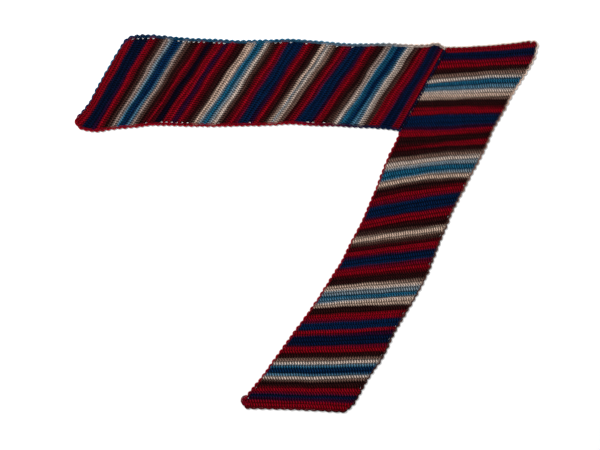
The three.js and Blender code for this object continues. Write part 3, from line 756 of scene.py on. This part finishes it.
def yarn_material():
    """Plied wool: the stripe's colour, heathered and hairy, with painted shade in the grooves
    between the plies and on the strands' flanks, and painted light on their tops.
    """
    if "Plied wool" in bpy.data.materials:
        return bpy.data.materials["Plied wool"]
    material, nodes, surface = new_material("Plied wool", roughness=0.82, specular=0.03)
    surface["Sheen Weight"].default_value = 0.01
    surface["Sheen Roughness"].default_value = 0.45
    strand = nodes.add("ShaderNodeAttribute", output="Vector", attribute_name="strand")
    parts = nodes.add("ShaderNodeSeparateXYZ", {0: strand}, None)
    about = nodes.maths("MULTIPLY", nodes.maths("ARCTAN2", parts[1], parts[0]), PLIES)
    along = nodes.maths("MULTIPLY", parts[2], PLY_TWIST)
    ply = nodes.maths("SINE", nodes.maths("ADD", about, along))
    ply = nodes.maths("MULTIPLY_ADD", ply, 0.5, 0.5)
    fibre = nodes.noise(scale=1900.0, detail=3.0, roughness=0.65)
    heather = nodes.noise(scale=210.0, detail=2.0, roughness=0.6)
    facing = nodes.add("ShaderNodeAttribute", output="Fac", attribute_name="facing")
    # Painted shade: darker in the grooves between the plies. Painted shade and light by facing:
    # darker on the strands' flanks, lighter on their tops. Heather and fibre are the yarn's own
    # uneven tone.
    value = nodes.ranged(ply, 0.0, 1.0, to_low=0.8, to_high=1.08)
    for part in (
        nodes.ranged(heather, 0.3, 0.7, to_low=0.8, to_high=1.22),
        nodes.ranged(fibre, 0.3, 0.75, to_low=0.86, to_high=1.2),
        nodes.ranged(facing, 0.3, 0.9, to_low=0.13, to_high=1.2),
    ):
        value = nodes.maths("MULTIPLY", value, part)
    height = nodes.maths("MULTIPLY_ADD", ply, 0.7, nodes.maths("MULTIPLY", fibre, 0.5))
    dye_wool(nodes, surface, value, height, strength=0.7, distance=0.0003)
    return material


def ground_material():
    """The matted wool deep between the stitches, painted almost black: painted shade."""
    if "Matted wool" in bpy.data.materials:
        return bpy.data.materials["Matted wool"]
    material, nodes, surface = new_material("Matted wool", roughness=0.95, specular=0.03)
    fibre = nodes.noise(scale=900.0, detail=4.0, roughness=0.7)
    # Painted shade: the yarn's colour cut to between a seventh and a third.
    value = nodes.ranged(fibre, 0.3, 0.7, to_low=0.14, to_high=0.3)
    dye_wool(nodes, surface, value, fibre, strength=0.8, distance=0.0006)
    return material


def floor_material():
    """A matt painted board with a faint grain."""
    material, nodes, surface = new_material("Pale board", roughness=0.9, specular=0.1)
    grain = nodes.noise(scale=6.0, detail=3.0, roughness=0.5)
    tone = hue("floor")
    lifted = nodes.mixed(grain, (*tone, 1), (*(0.985 * tone), 1))
    nodes.tree.links.new(lifted, surface["Base Color"])
    return material


# ---- the panels ----

def to_frame(places, height):
    """Places in the tables' millimetres, with heights in metres, as the frame's metres."""
    places = (np.asarray(places, float) + SHIFT) * MM
    height = np.broadcast_to(np.asarray(height, float), places.shape[:-1])
    return np.concatenate([places, height[..., None]], -1)


def rib_spans(side, rib):
    """How far apart the two ends of each rib are."""
    course = PANELS[side][0]
    return np.linalg.norm(course(rib, 1.0) - course(rib, 0.0), axis=-1)


def pulled_in(side, rib, end):
    """How far a panel's outline is pulled in at its open gaps, in millimetres."""
    pull = np.zeros_like(rib)
    for after in EYELETS[side][end]:
        round_off = np.sqrt(np.maximum(0, 1 - ((rib - after) / EYELET_HALF) ** 2))
        pull = np.maximum(pull, EYELET_DEPTHS[side][end] * round_off)
    return pull


def beside_eyelet(side, rib, end):
    """1 for ribs that have an open gap on either side of them, and 0 for others."""
    off = np.abs(rib[:, None] - np.array(EYELETS[side][end])[None, :])
    return (off < EYELET_NEAR).any(axis=1).astype(float)


def between(start, stop, points):
    """Shares from start to stop, one row for each rib."""
    return start[:, None] + (stop - start)[:, None] * np.linspace(0, 1, points)[None, :]


def panel_cloth(side):
    """The closed, ribbed ground of a panel, under its stitches."""
    course, ribs, _ = PANELS[side]
    rib = np.linspace(0, ribs, ribs * CLOTH_STEPS + 1)
    span = rib_spans(side, rib)
    start = pulled_in(side, rib, 0) / span
    stop = 1 - pulled_in(side, rib, 1) / span
    share = between(start, stop, CLOTH_POINTS)
    t = evenly(side, rib, share)
    grid = course(rib[:, None], t)
    swell = (1 - np.cos(2 * np.pi * rib))[:, None] / 2 + np.zeros_like(t)
    top, under = (
        to_frame(grid, (low + rise * swell) * MM).reshape(-1, 3)
        for low, rise in (GROUND_TOP, GROUND_UNDER)
    )
    index = np.arange(t.size).reshape(t.shape)
    quads = np.stack([index[:-1, :-1], index[1:, :-1], index[1:, 1:], index[:-1, 1:]], -1)
    quads = quads.reshape(-1, 4)
    rim = np.concatenate([index[:, 0], index[-1, 1:], index[-2::-1, -1], index[0, -2:0:-1]])
    onward = np.roll(rim, -1)
    walls = np.stack([rim + t.size, onward + t.size, onward, rim], -1)
    faces = np.concatenate([quads, t.size + quads[:, ::-1], walls]).tolist()
    cloth = new_object(f"{side}_panel_cloth", np.concatenate([top, under]), faces)
    dye = stripe_colours(side, rib[:, None], share).reshape(-1, 3)
    give(cloth, "yarn", "FLOAT_COLOR", np.concatenate([dye, dye]))
    for polygon in cloth.data.polygons:
        polygon.use_smooth = True
    cloth.data.materials.append(ground_material())
    return cloth


def rib_lines(side, name, rib_places, lean, stitches, small=0.02):
    """Lines along ribs, with what a stitch needs at each point."""
    course, ribs, _ = PANELS[side]
    spacing = 1 / stitches
    rib = np.asarray(rib_places, float)[:, None] + np.zeros(LINE_POINTS)[None, :]
    span = rib_spans(side, rib[:, 0])
    chance = np.random.default_rng(ROW_SEED)
    shift = spacing * chance.uniform(-ROW_SHIFT, ROW_SHIFT, len(rib))
    start = spacing / 2 + pulled_in(side, rib[:, 0], 0) / span + shift
    stop = 1 - spacing / 2 - pulled_in(side, rib[:, 0], 1) / span + shift
    share = between(start, stop, LINE_POINTS)
    t = evenly(side, rib_places, share)
    after, before = np.minimum(rib + small, ribs), np.maximum(rib - small, 0)
    across = (course(after, t) - course(before, t)) / (2 * small)
    along = unit(course(rib, t + small) - course(rib, t - small))
    way = np.array([math.cos(lean), math.sin(lean)])
    crossed = along[..., 0] * way[1] - along[..., 1] * way[0]
    slide = -(across[..., 0] * way[1] - across[..., 1] * way[0]) / crossed
    reach = np.abs(((across + slide[..., None] * along) * way).sum(-1)) / BAR[side]
    for end, away in ((0, share - start[:, None]), (1, stop[:, None] - share)):
        pinch = PINCH + EYELET_PINCH * beside_eyelet(side, rib[:, 0], end)
        reach *= 1 - pinch[:, None] * np.maximum(0, 1 - away / (PINCH_REACH * spacing))
    width = rib_spans(side, rib) * spacing * np.abs(crossed) / PITCH[side]
    index = np.arange(rib.size).reshape(rib.shape)
    edges = np.stack([index[:, :-1], index[:, 1:]], -1).reshape(-1, 2).tolist()
    thing = new_object(name, to_frame(course(rib, t), 0.0).reshape(-1, 3), edges=edges)
    give(thing, "turn", "FLOAT", np.full(rib.size, lean))
    give(thing, "reach", "FLOAT", np.clip(reach, *REACH_LIMITS).ravel())
    give(thing, "width", "FLOAT", np.clip(width, *WIDTH_LIMITS).ravel())
    for k, off in enumerate(SHADE_PLACES):
        dye = stripe_colours(side, rib + off, share).reshape(-1, 3)
        give(thing, f"shade {k}", "FLOAT_COLOR", dye)
    return thing


def stitch_shape(name, side, lines, radius, sides):
    """A stitch, with how far across its rib each of its places is."""
    stitch = tubes(name, lines, [radius] * len(lines), sides)
    x = np.array([v.co.x for v in stitch.data.vertices])
    give(stitch, "across", "FLOAT", x / (BAR[side] * MM) + 0.5)
    return stitch


def top_stitch(side, sizes):
    """One stitch of each of a rib's two rows: arched strands from a valley up to the crest."""
    across, along, rise, thick = STITCH.T
    lines = []
    for way in (-1, 1):
        x = way * across * BAR[side]
        y = way * (STAGGER[side] + along) * PITCH[side]
        z = sizes.valley / MM + (sizes.crest - sizes.valley) / MM * rise
        lines.append(np.stack([x, y, z], -1) * MM)
    radius = sizes.strand * PITCH[side] / USUAL_PITCH * thick
    return stitch_shape(f"{side} stitch", side, lines, radius, STITCH_SIDES)


def under_stitch(side):
    """The back of a stitch, a single bar."""
    across, height, thick = BACK.T
    line = np.stack([across * BAR[side], 0 * across, height], -1) * MM
    radius = thick * BACK_RADIUS * MM
    return stitch_shape(f"{side} under stitch", side, [line], radius, BACK_SIDES)


def panel_stitches(side):
    """All the stitches of a panel, in pieces that each stay small enough."""
    sizes = bpy.context.scene.shawl_sizes
    ribs = PANELS[side][1]
    lean = getattr(sizes, f"{side}_lean")
    stitches = getattr(sizes, f"{side}_stitches")
    top, under = top_stitch(side, sizes), under_stitch(side)
    half = ribs // 2
    groups = (
        ("stitches_1", np.arange(0, half) + 0.5, top),
        ("stitches_2", np.arange(half, ribs) + 0.5, top),
        ("underside", np.arange(1, ribs).astype(float), under),
    )
    made = []
    for seed, (label, places, template) in enumerate(groups, SEEDS[side]):
        thing = rib_lines(side, f"{side}_panel_{label}", places, lean, stitches)
        made.append(grow(thing, stitch_tree(), {
            "Stitch": template, "Count": stitches, "Wobble": sizes.wobble,
            "Unevenness": sizes.uneven, "Seed": seed, "Yarn": yarn_material(),
            "Valley shade": RIB_PAINTED_LIGHT_AND_SHADE[side][0], "Crest shade": RIB_PAINTED_LIGHT_AND_SHADE[side][1],
        }))
    for template in (top, under):
        bpy.data.objects.remove(template)
    return made


# ---- the edging and the seam ----

def outline(side):
    """The sides of a panel that carry edging, in order: name, ribs and places along them."""
    long, short = np.linspace(0, 1, SIDE_POINTS), np.linspace(0, 1, END_POINTS)
    if side == "left":
        return (
            ("left upper", LEFT_RIBS * (1 - long), 1 + 0 * long),
            ("left end", 0 * short, 1 - short),
            ("left lower", LEFT_RIBS * long, 0 * long),
        )
    first = JOINED_RIBS + 0.5
    return (
        ("right inner", first + (RIGHT_RIBS - first) * long, 0 * long),
        ("right foot", RIGHT_RIBS + 0 * short, short),
        ("right side", RIGHT_RIBS * (1 - long), 1 + 0 * long),
        ("right top", 0 * short, 1 - 0.99 * short),
    )


def lobe(share):
    """How far out a scallop is at shares of its length, from 0 to 1."""
    return np.sin(np.pi * share) ** SCALLOP_POWER


class EdgingPath:
    """A panel's outline by the millimetre, with the edging's colours and forms along it."""

    def __init__(self, side):
        places, rows = [], []
        for name, rib, t in outline(side):
            line = PANELS[side][0](rib, t)
            run = run_along(line)
            shares, names = zip(*EDGING_COLOURS[name])
            dye = columns_at(run / run[-1], shares, np.array([hue(c) for c in names]))
            form = np.broadcast_to(EDGING_FORMS[name], (len(line), len(EDGING_FORMS[name])))
            first = 1 if places else 0
            places.append(line[first:])
            rows.append(np.concatenate([dye, stripe_colours(side, rib, t), form], axis=1)[first:])
        places, rows = np.concatenate(places), np.concatenate(rows)
        run = run_along(places)
        self.run = np.arange(0, run[-1], 1.0)
        rows = columns_at(self.run, run, rows)
        self.hues, self.own_hues, self.forms = rows[:, :3], rows[:, 3:6], rows[:, 6:]
        weights = np.exp(-0.5 * (np.arange(-SOFT_REACH, SOFT_REACH + 1) / SOFT_WIDTH) ** 2)
        weights /= weights.sum()
        padded = np.pad(
            columns_at(self.run, run, places), ((SOFT_REACH, SOFT_REACH), (0, 0)),
            mode="reflect", reflect_type="odd")
        rounded = [np.convolve(column, weights, mode="valid") for column in padded.T]
        self.places = np.stack(rounded, -1)
        self.outward = to_the_right(unit(np.gradient(self.places, axis=0)))

    def value(self, table, s):
        return columns_at(s, self.run, table)

    def at(self, s, out, up):
        """A place that is so far along, outward and up."""
        s = np.clip(s, 0, self.run[-1])
        way = unit(self.value(self.outward, s))
        place = self.value(self.places, s) + way * np.asarray(out)[..., None]
        return to_frame(place, np.asarray(up) * MM)

    def dyed(self, s, own):
        """The edging's colour, with a share of the panel's own."""
        return (1 - own) * self.value(self.hues, s) + own * self.value(self.own_hues, s)


class Strands:
    """Collects lines that become strands of yarn."""

    def __init__(self):
        self.places, self.edges, self.thick, self.dye = [], [], [], []

    def add(self, line, thick, dye):
        first = len(self.places)
        self.places.extend(line.tolist())
        self.edges.extend((first + k, first + k + 1) for k in range(len(line) - 1))
        self.thick.extend(np.broadcast_to(thick, len(line)).tolist())
        self.dye.extend(np.broadcast_to(dye, (len(line), 3)).tolist())

    def spin(self, name):
        thing = new_object(name, self.places, edges=self.edges)
        give(thing, "thick", "FLOAT", self.thick)
        give(thing, "yarn", "FLOAT_COLOR", np.array(self.dye))
        return grow(thing, strand_tree(), {"Sides": 5, "Yarn": yarn_material()})


def base_cord(strands, path, chance):
    """The edging's base: a cord of short slanting strands."""
    along, outward, height, thick = CORD_BAR.T
    s = 0.0
    while s < path.run[-1]:
        cord, _, _, wider, own = path.value(path.forms, s)
        out = 0.5 + 0.5 * wider + (0.75 * cord + 0.5 * wider) * outward
        tone = path.dyed(s + along, own) * chance.uniform(0.5, 1.0)
        strands.add(path.at(s + along, out, height), CORD_SHARE * cord * MM * thick, tone)
        s += CORD_STEP * chance.uniform(0.9, 1.1)


def scallops(strands, path, chance):
    """Scallops of twisted strands, each with short strands that join it to the cord."""
    thick = bpy.context.scene.shawl_sizes.edging_strand
    along, outward, height = FOOT_BAR.T
    wide, high = SCALLOP_COIL
    dark, lighter = SCALLOP_PAINTED_LIGHT
    u = np.linspace(0, 1, SCALLOP_POINTS)
    s = 0.0
    while s < path.run[-1]:
        cord, bulge, scallop, wider, own = path.value(path.forms, s)
        bulge *= chance.uniform(0.8, 1.2)
        scallop *= chance.uniform(0.92, 1.08)
        way = s + (u * (1 + 2 * SCALLOP_LAP) - SCALLOP_LAP) * scallop
        twist = 2 * np.pi * (SCALLOP_TURNS * u + chance.uniform(0, 1))
        # Painted shade at a scallop's ends and painted light at its tip, times a random tone.
        bright = (dark + lighter * lobe(u))[:, None] * chance.uniform(0.85, 1.15)
        tone = path.value(path.hues, way) * bright
        for turn in SCALLOP_PLIES:
            out = 0.6 + 0.6 * cord + wider + bulge * lobe(u) + wide * np.cos(twist + turn)
            up = 2.4 + 0.7 * u + 0.4 * lobe(u) + high * np.sin(twist + turn)
            strands.add(path.at(way, out, up), thick, tone)
        for share in FEET:
            foot = s + share * scallop + along
            out = outward * (0.6 * cord + wider + bulge * lobe(share))
            # Painted shade: the joining strands are darkened under the scallops.
            strands.add(path.at(foot, out, height), thick, FOOT_PAINTED_SHADE * path.dyed(foot, own))
        s += scallop


def knob(strands):
    """The round turn of the edging at the foot's inner corner: rings of twisted strand."""
    turn = np.radians(np.linspace(KNOB_FROM, KNOB_TO, KNOB_POINTS))
    round_it = np.stack([np.cos(turn), np.sin(turn)], -1)
    for radius in KNOB_RINGS:
        for phase in (0, np.pi):
            twist = KNOB_TWIST * turn * radius + phase
            wide = radius + KNOB_COIL[0] * np.cos(twist)
            line = np.array(KNOB_PLACE) + wide[:, None] * round_it
            bright = (0.85 + 0.4 * np.sin(5 * turn + radius))[:, None]
            tone = 0.5 * (hue("wine") + hue("red")) * bright
            height = KNOB_HEIGHT + KNOB_COIL[1] * np.sin(twist)
            strands.add(to_frame(line, height * MM), KNOB_STRAND * MM, tone)


def edging(side):
    """A panel's edging: base cord, scallops and, at the right panel's foot, the round turn."""
    strands, path = Strands(), EdgingPath(side)
    chance = np.random.default_rng(EDGING_SEEDS[side])
    base_cord(strands, path, chance)
    scallops(strands, path, chance)
    if side == "right":
        knob(strands)
    return strands.spin(f"{side}_panel_edging")


def seam():
    """The short, slanting stitches that join the two panels: navy and purple yarn, darkened
    further as painted shade of the groove between the panels.
    """
    strands = Strands()
    chance = np.random.default_rng(SEAM_SEED)
    across, down, height = SEAM_BAR.T
    for k in range(SEAM_STITCHES):
        t = (k + 0.5) / SEAM_STITCHES + chance.uniform(-0.004, 0.004)
        if t > SEAM_END:
            continue
        foot, along, out = last_rib(t)
        reach = across * chance.uniform(0.8, 1.2)
        line = foot + reach[:, None] * out + down[:, None] * along
        # Navy and purple yarn, darkened: painted shade in the seam's groove.
        tone = (hue("navy") if k % 3 else 0.6 * hue("purple")) * chance.uniform(0.5, 0.9)
        if k % SEAM_DOT == SEAM_DOT_FIRST:
            tone = SEAM_DOT_TONE * hue("beige")
            line = foot + (line - foot) * SEAM_DOT_SIZE
        strands.add(to_frame(line, height * MM), SEAM_RADIUS * MM, tone)
    return strands.spin("joining_stitches")


# ---- operators ----

PANEL_NODES = {"left": ("panel_left",), "right": ("panel_right",)}
EDGING_NODES = {
    "left": ("edging_left_lower", "edging_left_end", "edging_left_upper"),
    "right": ("edging_right_top", "edging_right_side", "edging_right_foot", "edging_right_inner"),
}


class SHAWL_OT_panel_cloth(bpy.types.Operator):
    """Make the ribbed ground of both panels"""
    bl_idname = "shawl.panel_cloth"
    bl_label = "Panel Cloth"

    def execute(self, context):
        for side in PANELS:
            cloth = panel_cloth(side)
            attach(cloth, "root")
            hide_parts(*PANEL_NODES[side])
        return {"FINISHED"}


class SHAWL_OT_stitches(bpy.types.Operator):
    """Work the stitches of both panels, on the face and on the underside"""
    bl_idname = "shawl.stitches"
    bl_label = "Stitches"

    def execute(self, context):
        for side in PANELS:
            for piece in panel_stitches(side):
                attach(piece, "root")
        return {"FINISHED"}


class SHAWL_OT_edging(bpy.types.Operator):
    """Work the scalloped edging round both panels"""
    bl_idname = "shawl.edging"
    bl_label = "Edging"

    def execute(self, context):
        for side in PANELS:
            piece = edging(side)
            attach(piece, "root")
            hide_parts(*EDGING_NODES[side])
        return {"FINISHED"}


class SHAWL_OT_seam(bpy.types.Operator):
    """Join the panels with the seam's stitches"""
    bl_idname = "shawl.seam"
    bl_label = "Seam"

    def execute(self, context):
        piece = seam()
        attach(piece, "root")
        for side in PANELS:
            own = ["stitches_1", "stitches_2", "underside", "edging"]
            with_it = [f"{side}_panel_{label}" for label in own]
            if side == "right":
                with_it.append("joining_stitches")
        return {"FINISHED"}


class SHAWL_OT_stage(bpy.types.Operator):
    """Set the floor, the light and the camera"""
    bl_idname = "shawl.stage"
    bl_label = "Stage"

    def execute(self, context):
        setting = context.scene.shawl_setting
        signs = ((-1, -1), (1, -1), (1, 1), (-1, 1))
        corners = [(x * FLOOR_HALF, y * FLOOR_HALF, 0) for x, y in signs]
        floor = new_object("floor", corners, [(0, 1, 2, 3)])
        floor.data.materials.append(floor_material())
        world = bpy.data.worlds.new("Soft room")
        world.use_nodes = True
        sky = world.node_tree.nodes["Background"]
        sky.inputs["Color"].default_value = (1, 1, 1, 1)
        sky.inputs["Strength"].default_value = setting.sky
        context.scene.world = world
        lamp = bpy.data.lights.new("Soft box", "AREA")
        lamp.shape = "RECTANGLE"
        lamp.size, lamp.size_y = LAMP_SIZE
        lamp.energy = setting.key
        box = bpy.data.objects.new("Soft box", lamp)
        box.location = LAMP_PLACE
        box.rotation_euler = (-box.location).to_track_quat("-Z", "Y").to_euler()
        context.scene.collection.objects.link(box)
        lens = bpy.data.cameras.new("Camera")
        lens.lens, lens.sensor_width = setting.lens, SENSOR_WIDTH
        lens.clip_end = FARTHEST
        camera = bpy.data.objects.new("Camera", lens)
        away = setting.field / 2 / (SENSOR_WIDTH / 2 / setting.lens)
        camera.location = (setting.across + SHIFT[0] * MM, setting.up + SHIFT[1] * MM, away)
        context.scene.collection.objects.link(camera)
        context.scene.camera = camera
        context.scene.view_settings.view_transform = "Standard"
        return {"FINISHED"}


STEPS = (SHAWL_OT_panel_cloth, SHAWL_OT_stitches, SHAWL_OT_edging, SHAWL_OT_seam, SHAWL_OT_stage)


class SHAWL_PT_sidebar(bpy.types.Panel):
    """Lists the steps, sizes and colours"""
    bl_label = "Crocheted Shawl"
    bl_idname = "SHAWL_PT_sidebar"
    bl_space_type = "VIEW_3D"
    bl_region_type = "UI"
    bl_category = "Shawl"

    def draw(self, context):
        column = self.layout.column(align=True)
        for step in STEPS:
            column.operator(step.bl_idname)
        scene = context.scene
        for group in (scene.shawl_sizes, scene.shawl_colours, scene.shawl_setting):
            box = self.layout.box()
            for name in group.bl_rna.properties.keys():
                if name not in ("rna_type", "name"):
                    box.prop(group, name)


GROUPS = (ShawlSizes, ShawlColours, ShawlSetting)
CLASSES = GROUPS + STEPS + (SHAWL_PT_sidebar,)


def register():
    for item in CLASSES:
        bpy.utils.register_class(item)
    bpy.types.Scene.shawl_sizes = PointerProperty(type=ShawlSizes)
    bpy.types.Scene.shawl_colours = PointerProperty(type=ShawlColours)
    bpy.types.Scene.shawl_setting = PointerProperty(type=ShawlSetting)


def unregister():
    del bpy.types.Scene.shawl_setting
    del bpy.types.Scene.shawl_colours
    del bpy.types.Scene.shawl_sizes
    for item in reversed(CLASSES):
        bpy.utils.unregister_class(item)


def main():
    register()
    bpy.ops.shawl.panel_cloth()
    bpy.ops.shawl.stitches()
    bpy.ops.shawl.edging()
    bpy.ops.shawl.seam()
    bpy.ops.shawl.stage()


if __name__ == "__main__":
    main()
